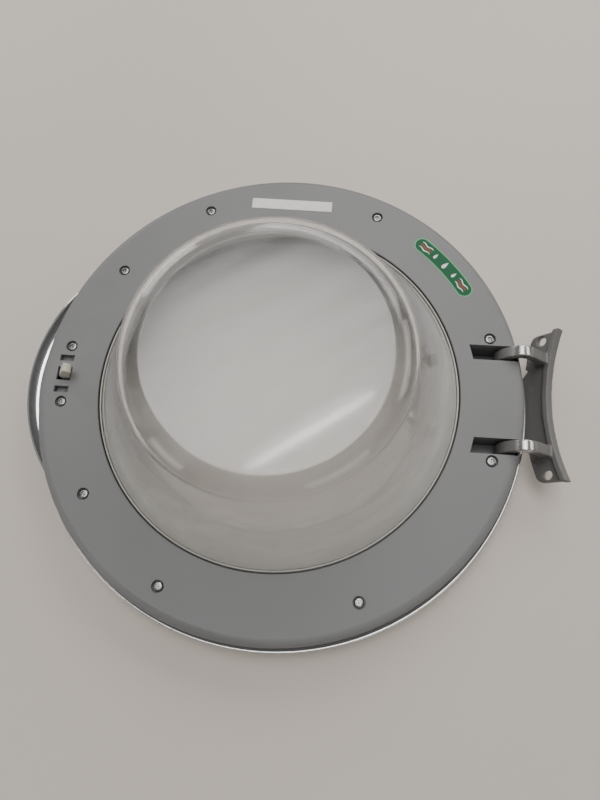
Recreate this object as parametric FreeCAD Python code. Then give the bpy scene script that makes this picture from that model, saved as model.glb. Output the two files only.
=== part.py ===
import FreeCAD, Part
import math
import os

# Washing machine door, in millimetres. The front face lies on z = 0 and the porthole's axis is Z.
# The hinge is on +X, the latch and the grip are on -X, and the glass bowl stands up along +Z.

# Driving dimensions of the door
FRAME_R = 205.0            # outside of the inner frame
DOOR_H = 40.0              # from the front face to the inner face
BOWL_H = 92.0              # how far the glass stands above the inner face
BOWL_LEAN = 25.85          # slope of the glass wall, in degrees from the axis
GLASS_T = 4.5              # thickness of the pressed glass
SKIN = 2.5                 # wall of the inner frame
RING_WALL = 3.0            # wall of the outer ring

# Outer ring
LIP_GAP = 0.4              # between the inner frame's skirt and the ring's lip
LIP_R = FRAME_R + 5.2
LIP_Z = DOOR_H / 2
LIP_ROUND = 1.0
DOME_R = FRAME_R - 13.0    # where the flat front turns into the outer dome
MOUTH_START_R = FRAME_R - 31.0

# Glass seat and clamp
BOWL_GAP = 3.2             # between the opening's edge and the glass
FLANGE_T = 5.5
FLANGE_W = 8.6
CLAMP_DROP = 7.8           # from the inner face to the top of the glass flange
CLAMP_Z = DOOR_H - CLAMP_DROP
SEAT_Z = CLAMP_Z - FLANGE_T
SHOULDER_ROUND = 22.0
FLANGE_PLAY = 0.4
SEAL_W = 2.0               # room for the seal between the glass and the clamp
SEAL_FOOT = 2.5
SEAL_OFF = 0.7             # between the glass and the seal's free lip
SEAL_T = 1.2
SEAL_TOP = DOOR_H - 1.2
SLOT_REACH = 39.2          # from the frame's outside to the inner ends of the hinge slots
SLOT_IN_R = FRAME_R - SLOT_REACH
POCKET_WALL = 1.5
POCKET_GAP = 1.3           # between the pockets and the wall round the glass flange
FLANGE_R = SLOT_IN_R - POCKET_WALL - POCKET_GAP - SKIN
THROAT_R = FLANGE_R - FLANGE_W     # outside of the glass where it leaves its flange
OPENING_R = THROAT_R - CLAMP_DROP * math.tan(math.radians(BOWL_LEAN)) + BOWL_GAP

# Inner frame
EDGE_ROUND = 7.0
INNER_ROUND = 1.2
SKIRT_Z = LIP_Z - 2.8      # lower end of the skirt, inside the lip

# Screws
SCREW_R = FRAME_R - 21.0
SCREW_ANGLES = (65.2, 114.6)
HINGE_SCREW_GAP = 6.0      # between a hinge slot and the screw beside it
LATCH_SCREW_GAP = 8.3      # between a latch pocket and the screw beside it
INSET_ANGLE = 145.6        # this pair stands a little nearer the glass
INSET_SCREW_R = SCREW_R - 4.5
HEAD_R = 4.0
HEAD_H = 2.3
DRIVE_R = 1.7
DRIVE_D = 1.3
SHANK_R = 2.0
SHANK_L = 16.0
RECESS_R = 5.0
RECESS_D = 3.0
FRAME_BOSS_R = 6.5
RING_BOSS_R = 4.2
BOSS_Z = DOOR_H - 7.0      # joint between the bosses of the two rings
HOLE_PLAY = 0.05
SCREW_PLAY = 0.3

# Hinge
PIVOT_X = FRAME_R - 14.8
PIVOT_Z = DOOR_H - 12.0
OPEN_DEG = 130.0           # turn of the bracket from the closed door to the open stop
PLATE_HALF = 64.0          # half length of the bracket's curved plate
ARM_Y = PLATE_HALF - 24.0
ARM_W = 9.3
ARM_BOSS_R = 7.8
ARCH_X = 10.8              # top of the gooseneck, from the pivot
ARCH_TOP = 22.0
ARCH_T = 8.2
ARCH_IN = ARCH_TOP - ARCH_T
ROOT_IN = 3.0              # the arm's root starts this far outside the plate's inner edge
ROOT_L = 13.5
ROOT_SINK = 1.5
SLOT_W = 13.1
SLOT_OUT_R = FRAME_R - 2.6
POCKET_Z = PIVOT_Z - 12.5
PLATE_IN_R = FRAME_R - 40.0        # curved plate of the bracket, concentric when shut
PLATE_OUT_R = FRAME_R - 15.6
PLATE_T = 5.0
WEB_REACH = 3.5            # the web between the arms starts out this much wider than the plate
LIP_CLEAR = 0.5            # between the web and the ring's lip at the open stop
RELIEF_L = 12.0            # slanted relief at each end of the web, beside the arm
RELIEF_W = 7.0
RIM_H = 8.0
RIM_W = 5.0
RIM_OVERHANG = 0.8         # the rim is a little longer than the plate
MOUNT_Z = DOOR_H + 18.0    # mounting face of the bracket when shut
TAB_HOLE_R = 4.0
TAB_HOLE_Y = PLATE_HALF - 6.0
TAB_HOLE_PCR = FRAME_R - 26.0
TAB_ROUND = 8.0
PEG_HOLE_R = 1.3
PEG_HOLE_Y = -ARM_Y - 7.5
PEG_HOLE_PCR = FRAME_R - 19.5
PIN_R = 3.0
PIN_REACH = 5.6            # how far a pin goes past the sides of its slot
BUSH_R = 4.0
BUSH_L = 5.8
BUSH_FLANGE_R = 6.0
BUSH_FLANGE_T = 1.2
BEARING_R = 7.0
RUN_PLAY = 0.05
FIT_PLAY = 0.02

# Latch
LATCH_X = -(FRAME_R - 21.0)
LATCH_Z = DOOR_H - 16.0
HOOK_W = 7.4
HOOK_T = 7.4
HOOK_H = 16.2              # how far the catch stands above the inner face
HOOK_BOSS_R = 5.0
NOSE_REACH = 10.8
NOSE_T = 7.0
WINDOW_X = 6.3             # half length of the window
WINDOW_Y = 6.0
POCKET_IN_Y = 11.5
POCKET_OUT_Y = 17.0
POCKET_D = 5.2             # deep end of the latch pockets, whose floors rise towards the glass
POCKET_RISE = 3.6
POCKET_FLAT = 0.6          # flat share of a pocket's floor
EAR_IN_Y = 8.4
EAR_T = 3.0
EAR_R = 6.5
LATCH_PIN_R = 2.0
WIRE_R = 0.5
COIL_R = 3.75
COIL_TURNS = 2.5
COIL_PITCH = 1.06

# Grip
GRIP_OUT = 14.2            # how far the grip's lip stands out past the frame
GRIP_SPAN = 179.0          # from tip to tip
GRIP_RISE = FRAME_R + GRIP_OUT - math.sqrt(FRAME_R ** 2 - GRIP_SPAN ** 2 / 4)
GRIP_R = GRIP_RISE / 2 + GRIP_SPAN ** 2 / (8 * GRIP_RISE)
GRIP_X = GRIP_R - FRAME_R - GRIP_OUT
GRIP_DEG = 60.0            # half angle of the sweep, which ends inside the frame
TIP_TRIM = 3.0             # the tips are cut off square, this far short of their points
GRIP_TOP = DOOR_H - 8.0
GRIP_FOOT = 4.0
GRIP_FOOT_R = GRIP_R - 13.5
GRIP_SIDE_Z = DOOR_H - 16.0
GRIP_WALL = 2.4
GUTTER_Z = LIP_Z + 4.0
GUTTER_ROUND = 5.0

# Labels
LABEL_L = 74.0
LABEL_W = 10.2
LABEL_X = -1.7
LABEL_R = FRAME_R - 28.2
LABEL_TURN = -1.4
STICKER_R = FRAME_R - 21.8
STICKER_W = 14.6
STICKER_FROM_DEG = 30.0
STICKER_TO_DEG = 52.0
FILM_T = 0.2

# Margins for cuts and joins
OVER = 1.0


def vec(x, y, z):
    return FreeCAD.Vector(x, y, z)


def face(start, steps):
    """A flat face in the XZ plane, from a chain of lines, arcs and smooth curves."""
    edges = []
    here = start
    for step in steps:
        points = [vec(p[0], 0, p[1]) for p in (here,) + tuple(step[1:])]
        if step[0] == "line":
            edges.append(Part.LineSegment(points[0], points[1]).toShape())
        elif step[0] == "arc":
            edges.append(Part.Arc(points[0], points[1], points[2]).toShape())
        else:
            spline = Part.BSplineCurve()
            spline.interpolate(points)
            edges.append(spline.toShape())
        here = step[-1]
    edges.append(Part.LineSegment(vec(here[0], 0, here[1]), vec(start[0], 0, start[1])).toShape())
    return Part.Face(Part.Wire(edges))


def turn(start, steps, x=0.0):
    """Revolve an outline of (radius, height) points about an upright axis."""
    solid = face(start, steps).revolve(vec(0, 0, 0), vec(0, 0, 1), 360)
    solid.translate(vec(x, 0, 0))
    return solid


def quarter(a, b, centre):
    """The middle point of a quarter ellipse from a to b."""
    k = math.sqrt(0.5)
    return tuple(centre[i] + k * (a[i] - centre[i]) + k * (b[i] - centre[i]) for i in (0, 1))


def post(r, z0, z1, x=0.0, y=0.0):
    return Part.makeCylinder(r, z1 - z0, vec(x, y, z0))


def rod(r, y0, y1, x, z):
    return Part.makeCylinder(r, y1 - y0, vec(x, y0, z), vec(0, 1, 0))


def block(x0, x1, y0, y1, z0, z1):
    return Part.makeBox(x1 - x0, y1 - y0, z1 - z0, vec(x0, y0, z0))


def ring(r0, r1, z0, z1):
    return post(r1, z0, z1).cut(post(r0, z0 - OVER, z1 + OVER))


def polar(r, angle):
    return r * math.cos(math.radians(angle)), r * math.sin(math.radians(angle))


def mirror_y(shape):
    return shape.mirror(vec(0, 0, 0), vec(0, 1, 0))


def glass_out(z):
    return OPENING_R - BOWL_GAP + (DOOR_H - z) * math.tan(math.radians(BOWL_LEAN))


def glass_in(z):
    return glass_out(z) - GLASS_T / math.cos(math.radians(BOWL_LEAN))


def screw_places():
    spots = [polar(SCREW_R, a) for a in SCREW_ANGLES] + [polar(INSET_SCREW_R, INSET_ANGLE)]
    beside_slot = ARM_Y + SLOT_W / 2 + HINGE_SCREW_GAP
    beside_latch = POCKET_OUT_Y + LATCH_SCREW_GAP
    spots.append((math.sqrt(SCREW_R ** 2 - beside_slot ** 2), beside_slot))
    spots.append((-math.sqrt(SCREW_R ** 2 - beside_latch ** 2), beside_latch))
    return spots + [(x, -y) for x, y in spots]


def to_open(x, z):
    """A point of the shut bracket, turned to the open stop and measured from the pivot."""
    a = math.radians(OPEN_DEG)
    dx = x - PIVOT_X
    dz = z - PIVOT_Z
    return dx * math.cos(a) + dz * math.sin(a), dz * math.cos(a) - dx * math.sin(a)


def ring_outside():
    """The outer ring's outside, from the front flat round the dome to the lip."""
    dome_a = (DOME_R, 0)
    dome_b = (LIP_R, LIP_Z - LIP_ROUND)
    lip = (LIP_R - LIP_ROUND, LIP_Z)
    return dome_a, [("arc", quarter(dome_a, dome_b, (DOME_R, LIP_Z)), dome_b),
                    ("arc", quarter(dome_b, lip, (LIP_R - LIP_ROUND, LIP_Z - LIP_ROUND)), lip)]


def outer_ring():
    start, outside = ring_outside()
    lip_in = FRAME_R + LIP_GAP
    mouth_r = glass_in(SEAT_Z) + 0.3
    collar_r = mouth_r + RING_WALL
    in_a = (lip_in, LIP_Z - OVER)
    in_b = (DOME_R, RING_WALL)
    in_c = (MOUTH_START_R, RING_WALL)
    in_d = (collar_r, SEAT_Z)
    out_d = (mouth_r, SEAT_Z)
    out_c = (MOUTH_START_R, 0)
    shell = turn(start, outside + [
        ("line", (lip_in, LIP_Z)), ("line", in_a),
        ("arc", quarter(in_a, in_b, (DOME_R, LIP_Z - OVER)), in_b),
        ("line", in_c),
        ("arc", quarter(in_c, in_d, (MOUTH_START_R, SEAT_Z)), in_d),
        ("line", out_d),
        ("arc", quarter(out_d, out_c, (MOUTH_START_R, SEAT_Z)), out_c)])
    bosses = [post(RING_BOSS_R, RING_WALL - OVER, BOSS_Z, x, y) for x, y in screw_places()]
    floor = DOOR_H - RECESS_D - SHANK_L - OVER
    holes = [post(SHANK_R + HOLE_PLAY, floor, BOSS_Z + OVER, x, y) for x, y in screw_places()]
    return shell.fuse(bosses).cut(Part.makeCompound(holes))


def grip_sweep(section):
    """Carry a section round the grip's curve, past both tips."""
    section.rotate(vec(0, 0, 0), vec(0, 0, 1), 180 - GRIP_DEG)
    body = section.revolve(vec(0, 0, 0), vec(0, 0, 1), 2 * GRIP_DEG)
    body.translate(vec(GRIP_X, 0, 0))
    return body


def grip_handle():
    """Crescent channel on the latch side: an outer wall and a floor that cover the ring's lip."""
    core = GRIP_R - 2 * GRIP_RISE
    foot = (GRIP_FOOT_R, GRIP_FOOT)
    side = (GRIP_R, GRIP_SIDE_Z)
    body = grip_sweep(face((core, GRIP_FOOT), [
        ("line", foot), ("arc", quarter(foot, side, (GRIP_FOOT_R, GRIP_SIDE_Z)), side),
        ("line", (GRIP_R, GRIP_TOP - 1.2)),
        ("arc", (GRIP_R - 0.35, GRIP_TOP - 0.35), (GRIP_R - 1.2, GRIP_TOP)),
        ("line", (core, GRIP_TOP))]))
    start, outside = ring_outside()
    skirt = FRAME_R + LIP_GAP
    door = turn(start, outside + [
        ("line", (skirt, LIP_Z)), ("line", (skirt, GRIP_TOP + OVER)), ("line", (0, GRIP_TOP + OVER)),
        ("line", (0, 0))])
    inside = GRIP_R - GRIP_WALL
    k = GUTTER_ROUND * (1 - math.sqrt(0.5))
    gutter = grip_sweep(face((core - OVER, GUTTER_Z), [
        ("line", (inside - GUTTER_ROUND, GUTTER_Z)),
        ("arc", (inside - k, GUTTER_Z + k), (inside, GUTTER_Z + GUTTER_ROUND)),
        ("line", (inside, GRIP_TOP + OVER)), ("line", (core - OVER, GRIP_TOP + OVER))]))
    half = GRIP_SPAN / 2 - TIP_TRIM
    span = block(GRIP_X - GRIP_R - OVER, GRIP_X, -half, half, 0, DOOR_H)
    return body.cut(door).cut(gutter).common(span)


def slot_void(side):
    """The hinge slot and the pocket under it, on the side of +Y or -Y."""
    y0 = ARM_Y - SLOT_W / 2
    y1 = ARM_Y + SLOT_W / 2
    strip = block(0, FRAME_R + OVER, y0, y1, POCKET_Z, DOOR_H + OVER)
    slot = strip.common(ring(SLOT_IN_R, SLOT_OUT_R, POCKET_Z, DOOR_H + OVER))
    deep = strip.common(ring(FRAME_R - 20, FRAME_R - 1.5, POCKET_Z, DOOR_H - 4.2))
    void = slot.fuse(deep)
    return void if side > 0 else mirror_y(void)


def hinge_pocket():
    """Walls and floor of one pocket and its two bearings."""
    y0 = ARM_Y - SLOT_W / 2 - POCKET_WALL
    y1 = ARM_Y + SLOT_W / 2 + POCKET_WALL
    top = DOOR_H - SKIN / 2
    box = block(0, FRAME_R, y0, y1, POCKET_Z - POCKET_WALL, top)
    box = box.common(ring(SLOT_IN_R - POCKET_WALL, FRAME_R - 1.6, POCKET_Z - POCKET_WALL, top))
    reach = SLOT_W / 2 + BUSH_L + 0.2
    bearing = rod(BEARING_R, ARM_Y - reach, ARM_Y + reach, PIVOT_X, PIVOT_Z)
    return [box, bearing]


def inner_frame():
    edge = FRAME_R - EDGE_ROUND
    k = math.sqrt(0.5)
    clamp_in = THROAT_R + SEAL_W
    under = DOOR_H - SKIN
    body = turn((FRAME_R, SKIRT_Z), [
        ("line", (FRAME_R, DOOR_H - EDGE_ROUND)),
        ("arc", (edge + k * EDGE_ROUND, DOOR_H - EDGE_ROUND + k * EDGE_ROUND), (edge, DOOR_H)),
        ("line", (OPENING_R + INNER_ROUND, DOOR_H)),
        ("arc", (OPENING_R + INNER_ROUND * (1 - k), DOOR_H - INNER_ROUND * (1 - k)),
         (OPENING_R, DOOR_H - INNER_ROUND)),
        ("line", (OPENING_R, under)),
        ("line", (clamp_in, under)), ("line", (clamp_in, CLAMP_Z)),
        ("line", (FLANGE_R + FLANGE_PLAY, CLAMP_Z)), ("line", (FLANGE_R + FLANGE_PLAY, CLAMP_Z - 3)),
        ("line", (FLANGE_R + SKIN, CLAMP_Z - 3)), ("line", (FLANGE_R + SKIN, under)),
        ("line", (edge - OVER, under)),
        ("line", (FRAME_R - SKIN, DOOR_H - EDGE_ROUND - OVER)), ("line", (FRAME_R - SKIN, SKIRT_Z))])
    adds = [post(FRAME_BOSS_R, BOSS_Z, DOOR_H - SKIN / 2, x, y) for x, y in screw_places()]
    pocket = hinge_pocket()
    adds += pocket + [mirror_y(p) for p in pocket]
    ear_top = DOOR_H - SKIN / 2
    well = (LATCH_X - WINDOW_X - POCKET_WALL, LATCH_X + WINDOW_X + POCKET_WALL)
    for way in (-1, 1):
        y0 = min(way * EAR_IN_Y, way * (EAR_IN_Y + EAR_T))
        adds.append(block(LATCH_X - EAR_R, LATCH_X + EAR_R, y0, y0 + EAR_T, LATCH_Z, ear_top))
        adds.append(rod(EAR_R, y0, y0 + EAR_T, LATCH_X, LATCH_Z))
        w0 = min(way * (POCKET_IN_Y - POCKET_WALL), way * (POCKET_OUT_Y + POCKET_WALL))
        w1 = w0 + POCKET_OUT_Y - POCKET_IN_Y + 2 * POCKET_WALL
        adds.append(block(well[0], well[1], w0, w1, DOOR_H - POCKET_D - POCKET_WALL, ear_top))
    body = body.fuse(adds)
    cuts = [slot_void(1), slot_void(-1)]
    for x, y in screw_places():
        cuts.append(post(RECESS_R, DOOR_H - RECESS_D, DOOR_H + OVER, x, y))
        cuts.append(post(SHANK_R + SCREW_PLAY, BOSS_Z - OVER, DOOR_H, x, y))
    reach = SLOT_W / 2 + BUSH_L + OVER
    for way in (-1, 1):
        cuts.append(rod(BUSH_R, way * ARM_Y - reach, way * ARM_Y + reach, PIVOT_X, PIVOT_Z))
        p0 = min(way * POCKET_IN_Y, way * POCKET_OUT_Y)
        ramp = face((LATCH_X - WINDOW_X, DOOR_H - POCKET_D), [
            ("line", (LATCH_X + (2 * POCKET_FLAT - 1) * WINDOW_X, DOOR_H - POCKET_D)),
            ("line", (LATCH_X + WINDOW_X, DOOR_H - POCKET_D + POCKET_RISE)),
            ("line", (LATCH_X + WINDOW_X, DOOR_H + OVER)), ("line", (LATCH_X - WINDOW_X, DOOR_H + OVER))])
        pocket = ramp.extrude(vec(0, POCKET_OUT_Y - POCKET_IN_Y, 0))
        pocket.translate(vec(0, p0, 0))
        cuts.append(pocket)
    cuts.append(block(LATCH_X - WINDOW_X, LATCH_X + WINDOW_X, -WINDOW_Y, WINDOW_Y,
                      DOOR_H - 2 * SKIN, DOOR_H + OVER))
    cuts.append(rod(LATCH_PIN_R + FIT_PLAY, -EAR_IN_Y - EAR_T - OVER, EAR_IN_Y + EAR_T + OVER,
                    LATCH_X, LATCH_Z))
    for cut in cuts:
        body = body.cut(cut)
    return body


def glass_bowl():
    """Pressed bowl: a flange, a leaning wall, a rounded shoulder and a flat top."""
    lean = math.radians(BOWL_LEAN)
    top = DOOR_H + BOWL_H
    reach = SHOULDER_ROUND * math.tan((math.pi / 2 - lean) / 2)
    rim_r = glass_out(top) - reach
    hub = (rim_r, top - SHOULDER_ROUND)
    half = (lean + math.pi / 2) / 2

    def on(radius, angle):
        return hub[0] + radius * math.cos(angle), hub[1] + radius * math.sin(angle)

    inner = SHOULDER_ROUND - GLASS_T
    return turn((glass_in(SEAT_Z), SEAT_Z), [
        ("line", (FLANGE_R - 1.5, SEAT_Z)), ("line", (FLANGE_R, SEAT_Z + 1.5)),
        ("line", (FLANGE_R, CLAMP_Z - 1.5)), ("line", (FLANGE_R - 1.5, CLAMP_Z)),
        ("line", (glass_out(CLAMP_Z), CLAMP_Z)),
        ("line", on(SHOULDER_ROUND, lean)),
        ("arc", on(SHOULDER_ROUND, half), (rim_r, top)),
        ("line", (0, top)), ("line", (0, top - GLASS_T)), ("line", (rim_r, top - GLASS_T)),
        ("arc", on(inner, half), on(inner, lean))])


def bowl_seal():
    """Seal round the glass: a foot that fills the clamp's gap and a thin lip that leans with the glass."""
    foot_z = CLAMP_Z + SEAL_FOOT
    low = CLAMP_Z + FIT_PLAY
    clamp_in = THROAT_R + SEAL_W - FIT_PLAY

    def lip(z, across):
        return glass_out(z) + SEAL_OFF + across * SEAL_T, z

    tip = lip(SEAL_TOP, 0.5)
    return turn((glass_out(low) + FIT_PLAY, low), [
        ("line", (clamp_in, low)), ("line", (clamp_in, foot_z)), ("line", lip(foot_z, 1)),
        ("line", lip(SEAL_TOP, 1)), ("arc", (tip[0], SEAL_TOP + SEAL_T / 2), lip(SEAL_TOP, 0)),
        ("line", lip(foot_z, 0)), ("line", (glass_out(foot_z) + FIT_PLAY, foot_z))])


def arm(side):
    """One gooseneck arm at the open stop: an eye on the pivot and an arch over the frame's edge."""
    rim_z = MOUNT_Z - RIM_H
    foot_x = math.sqrt(PLATE_IN_R ** 2 - ARM_Y ** 2) + ROOT_IN
    outer_end = to_open(foot_x, rim_z)
    root_a = to_open(foot_x, MOUNT_Z - ROOT_SINK)
    root_b = to_open(foot_x + ROOT_L, MOUNT_Z - ROOT_SINK)
    inner_end = to_open(foot_x + ROOT_L, MOUNT_Z - PLATE_T)

    def back(x, z):
        return x * ARCH_X, z * ARCH_TOP

    def belly(x, z):
        return x * ARCH_X, z * ARCH_IN

    outline = face((-ARM_BOSS_R, 0), [
        ("curve", back(-0.48, 0.41), back(0.14, 0.787), back(1, 1), back(1.89, 0.814), outer_end),
        ("line", root_a), ("line", root_b), ("line", inner_end),
        ("curve", belly(2.185, 0.29), belly(1.667, 0.783), belly(1.02, 1), belly(0.574, 0.87),
         belly(0.444, 0.652), belly(0.556, 0.333)),
        ("line", (0, 0))])
    body = outline.extrude(vec(0, ARM_W, 0))
    body.translate(vec(PIVOT_X, -ARM_W / 2, PIVOT_Z))
    eye = rod(ARM_BOSS_R, -ARM_W / 2, ARM_W / 2, PIVOT_X, PIVOT_Z)
    body = body.fuse(eye).cut(rod(PIN_R + FIT_PLAY, -ARM_W, ARM_W, PIVOT_X, PIVOT_Z))
    body.translate(vec(0, side * ARM_Y, 0))
    return body


def web_relief(y_arm, y_web, z0):
    """Three-sided block that slants the web's edge away from the ring beside an arm."""
    far = PLATE_OUT_R + WEB_REACH + OVER
    low = z0 - OVER
    corners = [vec(PLATE_OUT_R - RELIEF_W, y_arm, low), vec(far, y_arm, low), vec(far, y_web, low)]
    outline = Part.Face(Part.makePolygon(corners + corners[:1]))
    return outline.extrude(vec(0, 0, PLATE_T + 2 * OVER))


def hinge_bracket():
    """Curved plate with a raised rim, drawn shut and turned to the open stop, and its two arms."""
    z0 = MOUNT_Z - PLATE_T
    wide = block(0, FRAME_R, -PLATE_HALF, PLATE_HALF, z0, MOUNT_Z)
    plate = ring(PLATE_IN_R, PLATE_OUT_R, z0, MOUNT_Z).common(wide)
    corners = [e for e in plate.Edges if abs(e.Length - PLATE_T) < 0.01
               and math.hypot(e.Vertexes[0].X, e.Vertexes[0].Y) > PLATE_OUT_R - 1]
    plate = plate.makeFillet(TAB_ROUND, corners)
    web_half = ARM_Y - ARM_W / 2
    plate = plate.fuse(block(PLATE_IN_R, PLATE_OUT_R + WEB_REACH, -web_half, web_half, z0, MOUNT_Z))
    plate = plate.removeSplitter()
    for way in (-1, 1):
        plate = plate.cut(web_relief(way * web_half, way * (web_half - RELIEF_L), z0))
    half = PLATE_HALF + RIM_OVERHANG
    rim = ring(PLATE_IN_R, PLATE_IN_R + RIM_W, MOUNT_Z - RIM_H, MOUNT_Z)
    rim = rim.common(block(0, FRAME_R, -half, half, MOUNT_Z - RIM_H, MOUNT_Z))
    body = plate.fuse(rim)
    for way in (-1, 1):
        x = math.sqrt(TAB_HOLE_PCR ** 2 - TAB_HOLE_Y ** 2)
        body = body.cut(post(TAB_HOLE_R, z0 - OVER, MOUNT_Z + OVER, x, way * TAB_HOLE_Y))
    x = math.sqrt(PEG_HOLE_PCR ** 2 - PEG_HOLE_Y ** 2)
    body = body.cut(post(PEG_HOLE_R, z0 - OVER, MOUNT_Z + OVER, x, PEG_HOLE_Y))
    body.rotate(vec(PIVOT_X, 0, PIVOT_Z), vec(0, 1, 0), OPEN_DEG)
    body = body.cut(post(LIP_R + LIP_CLEAR, 0, DOOR_H))
    return body.fuse([arm(1), arm(-1)]).removeSplitter()


def hinge_pin(side):
    reach = SLOT_W / 2 + PIN_REACH
    return rod(PIN_R, side * ARM_Y - reach, side * ARM_Y + reach, PIVOT_X, PIVOT_Z)


def hinge_bush(side, way):
    """Flanged bush in one wall of a pocket, on the outer (1) or inner (-1) side of its arm."""
    wall = SLOT_W / 2
    body = rod(BUSH_R, wall - BUSH_FLANGE_T, wall + BUSH_L, 0, 0)
    body = body.fuse(rod(BUSH_FLANGE_R, wall - BUSH_FLANGE_T, wall, 0, 0))
    body = body.cut(rod(PIN_R + RUN_PLAY, 0, wall + BUSH_L + OVER, 0, 0))
    if side * way < 0:
        body = mirror_y(body)
    body.translate(vec(PIVOT_X, side * ARM_Y, PIVOT_Z))
    return body


def latch_hook():
    """Spring catch: an eye on its pin, a leaning shank and a round-backed nose towards the glass."""
    top = DOOR_H + HOOK_H - LATCH_Z
    back = HOOK_T / 2 - 0.5
    front = HOOK_T - back
    face_h = DOOR_H - LATCH_Z
    outline = face((-back, 0), [
        ("line", (-back, face_h - 1.0)),
        ("curve", (-back + 2.6, face_h + 7.0), (back + 1.0, top - 2.2), (front + 1.2, top)),
        ("arc", (NOSE_REACH - 1.2, top - 1.4), (NOSE_REACH, top - 4.2)),
        ("line", (NOSE_REACH - 0.8, top - NOSE_T)),
        ("curve", (front + 3.4, top - NOSE_T - 0.8), (front + 0.2, face_h + 2.0)),
        ("line", (front, 0))])
    body = outline.extrude(vec(0, HOOK_W, 0))
    body.translate(vec(LATCH_X, -HOOK_W / 2, LATCH_Z))
    body = body.fuse(rod(HOOK_BOSS_R, -HOOK_W / 2, HOOK_W / 2, LATCH_X, LATCH_Z))
    return body.cut(rod(LATCH_PIN_R + RUN_PLAY, -HOOK_W, HOOK_W, LATCH_X, LATCH_Z))


def latch_pin():
    reach = EAR_IN_Y + EAR_T + 0.4
    return rod(LATCH_PIN_R, -reach, reach, LATCH_X, LATCH_Z)


def latch_spring():
    """Torsion spring beside the catch, one leg under the frame and one behind the catch."""
    steps = 25
    y0 = EAR_IN_Y - WIRE_R - 0.25
    leg = DOOR_H - SKIN - LATCH_Z
    path = [(COIL_R, y0, leg, 0.0), (COIL_R, y0, 0.0, 0.0)]
    for i in range(1, steps):
        t = i / steps
        a = 2 * math.pi * COIL_TURNS * t
        y = y0 - COIL_PITCH * COIL_TURNS * t
        path.append((COIL_R * math.cos(a), y, -COIL_R * math.sin(a), a))
    y1 = y0 - COIL_PITCH * COIL_TURNS
    path.append((-COIL_R, y1, 0.0, 2 * math.pi * COIL_TURNS))
    path.append((-COIL_R, y1, 0.55 * leg, 2 * math.pi * COIL_TURNS))
    rings = []
    for x, y, z, a in path:
        out = vec(math.cos(a), 0, -math.sin(a))
        points = []
        for k in range(6):
            b = math.pi * k / 3
            points.append(vec(x, y, z) + out * (WIRE_R * math.cos(b)) + vec(0, WIRE_R * math.sin(b), 0))
        rings.append(Part.makePolygon(points + points[:1]))
    body = Part.makeLoft(rings, True, True)
    body.translate(vec(LATCH_X, 0, LATCH_Z))
    return body


def frame_screws():
    seat = DOOR_H - RECESS_D
    head = turn((0, seat - SHANK_L), [
        ("line", (SHANK_R - 0.8, seat - SHANK_L)), ("line", (SHANK_R, seat - SHANK_L + 2)),
        ("line", (SHANK_R, seat)), ("line", (HEAD_R, seat)), ("line", (HEAD_R, seat + 0.45 * HEAD_H)),
        ("arc", (0.78 * HEAD_R, seat + 0.85 * HEAD_H), (DRIVE_R, seat + HEAD_H)),
        ("line", (DRIVE_R, seat + HEAD_H - DRIVE_D)), ("line", (0, seat + HEAD_H - DRIVE_D))])
    group = []
    for x, y in screw_places():
        screw = head.copy()
        screw.translate(vec(x, y, 0))
        group.append(screw)
    return Part.makeCompound(group)


def rating_label():
    body = block(-LABEL_L / 2, LABEL_L / 2, -LABEL_W / 2, LABEL_W / 2, 0, FILM_T)
    body.rotate(vec(0, 0, 0), vec(0, 0, 1), LABEL_TURN)
    body.translate(vec(LABEL_X, LABEL_R, DOOR_H))
    return body


def care_sticker():
    """A capsule bent along the frame."""
    r0 = STICKER_R - STICKER_W / 2
    r1 = STICKER_R + STICKER_W / 2
    end = math.degrees(STICKER_W / 2 / STICKER_R)
    a0 = STICKER_FROM_DEG + end
    a1 = STICKER_TO_DEG - end
    band = face((r0, 0), [("line", (r1, 0)), ("line", (r1, FILM_T)), ("line", (r0, FILM_T))])
    band = band.revolve(vec(0, 0, 0), vec(0, 0, 1), a1 - a0)
    band.rotate(vec(0, 0, 0), vec(0, 0, 1), a0)
    ends = [post(STICKER_W / 2, 0, FILM_T, *polar(STICKER_R, a)) for a in (a0, a1)]
    body = band.fuse(ends).removeSplitter()
    body.translate(vec(0, 0, DOOR_H))
    return body


NODES = {
    "outer_ring": outer_ring,
    "grip_handle": grip_handle,
    "inner_frame": inner_frame,
    "glass_bowl": glass_bowl,
    "bowl_seal": bowl_seal,
    "hinge_bracket": hinge_bracket,
    "hinge_pin_upper": lambda: hinge_pin(1),
    "hinge_pin_lower": lambda: hinge_pin(-1),
    "hinge_bush_upper_outer": lambda: hinge_bush(1, 1),
    "hinge_bush_upper_inner": lambda: hinge_bush(1, -1),
    "hinge_bush_lower_inner": lambda: hinge_bush(-1, -1),
    "hinge_bush_lower_outer": lambda: hinge_bush(-1, 1),
    "latch_hook": latch_hook,
    "latch_pin": latch_pin,
    "latch_spring": latch_spring,
    "frame_screws": frame_screws,
    "rating_label": rating_label,
    "care_sticker": care_sticker,
}

os.makedirs("parts", exist_ok=True)
for name, make in NODES.items():
    shape = make()
    if len(shape.Solids) == 1:
        shape = shape.Solids[0]
    box = shape.BoundBox
    print(name, len(shape.Solids), "solid", "valid" if shape.isValid() else "NOT VALID",
          "x %.1f..%.1f y %.1f..%.1f z %.1f..%.1f" % (box.XMin, box.XMax, box.YMin, box.YMax,
                                                       box.ZMin, box.ZMax))
    shape.exportStep("parts/" + name + ".step")
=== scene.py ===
# %% [markdown]
# # Dressing a washing machine door
# The CAD model gives us every solid of the door in its right place: a plated outer ring, a grey inner
# frame, a glass bowl, a swinging hinge and a sprung catch. In this lesson we keep those solids as a
# fixed frame and give each one the finish of the real thing. Where a solid is too crisp, we make a
# softer copy of it.

# %% Load the frame
import math

import bmesh
import bpy
from mathutils import Matrix, Vector


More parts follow.
